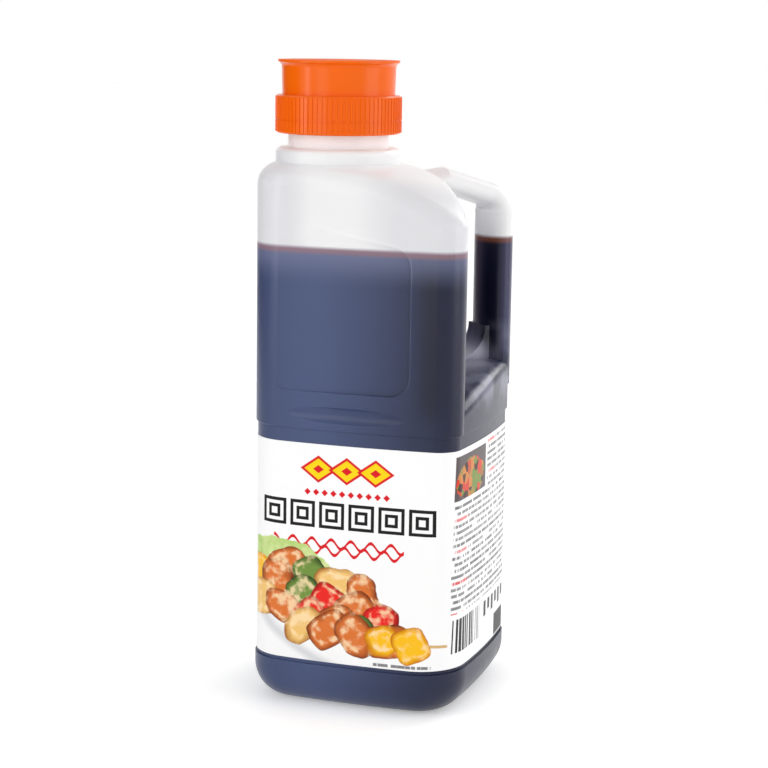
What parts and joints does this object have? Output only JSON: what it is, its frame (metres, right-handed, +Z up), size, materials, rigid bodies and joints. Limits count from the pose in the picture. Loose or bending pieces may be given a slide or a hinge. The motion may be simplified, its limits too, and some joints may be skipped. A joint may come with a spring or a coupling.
{
  "type": "teriyaki sauce bottle",
  "caption": "Square translucent plastic sauce bottle with a moulded corner handle, a wrap-around label and a ribbed two-tier screw cap set off-centre.",
  "frame": {"origin": "on the floor under the middle of the bottle's square body", "axes": "+Z up through the cap, +X to the right of the printed front face, +Y towards the back; the handle is at the +X +Y corner"},
  "size_m": [0.099, 0.099, 0.2809],
  "materials": {
    "milky_plastic": "smooth, translucent, natural polythene",
    "sauce": "dark liquid, glossy",
    "label": "satin, printed",
    "orange_plastic": "smooth, moulded"
  },
  "bodies": {
    "root": {"bottle": "milky_plastic", "sauce": "sauce", "label": "label", "cap_band": "orange_plastic", "cap_collar": "orange_plastic", "cap_cover": "orange_plastic"}
  },
  "joints": []
}
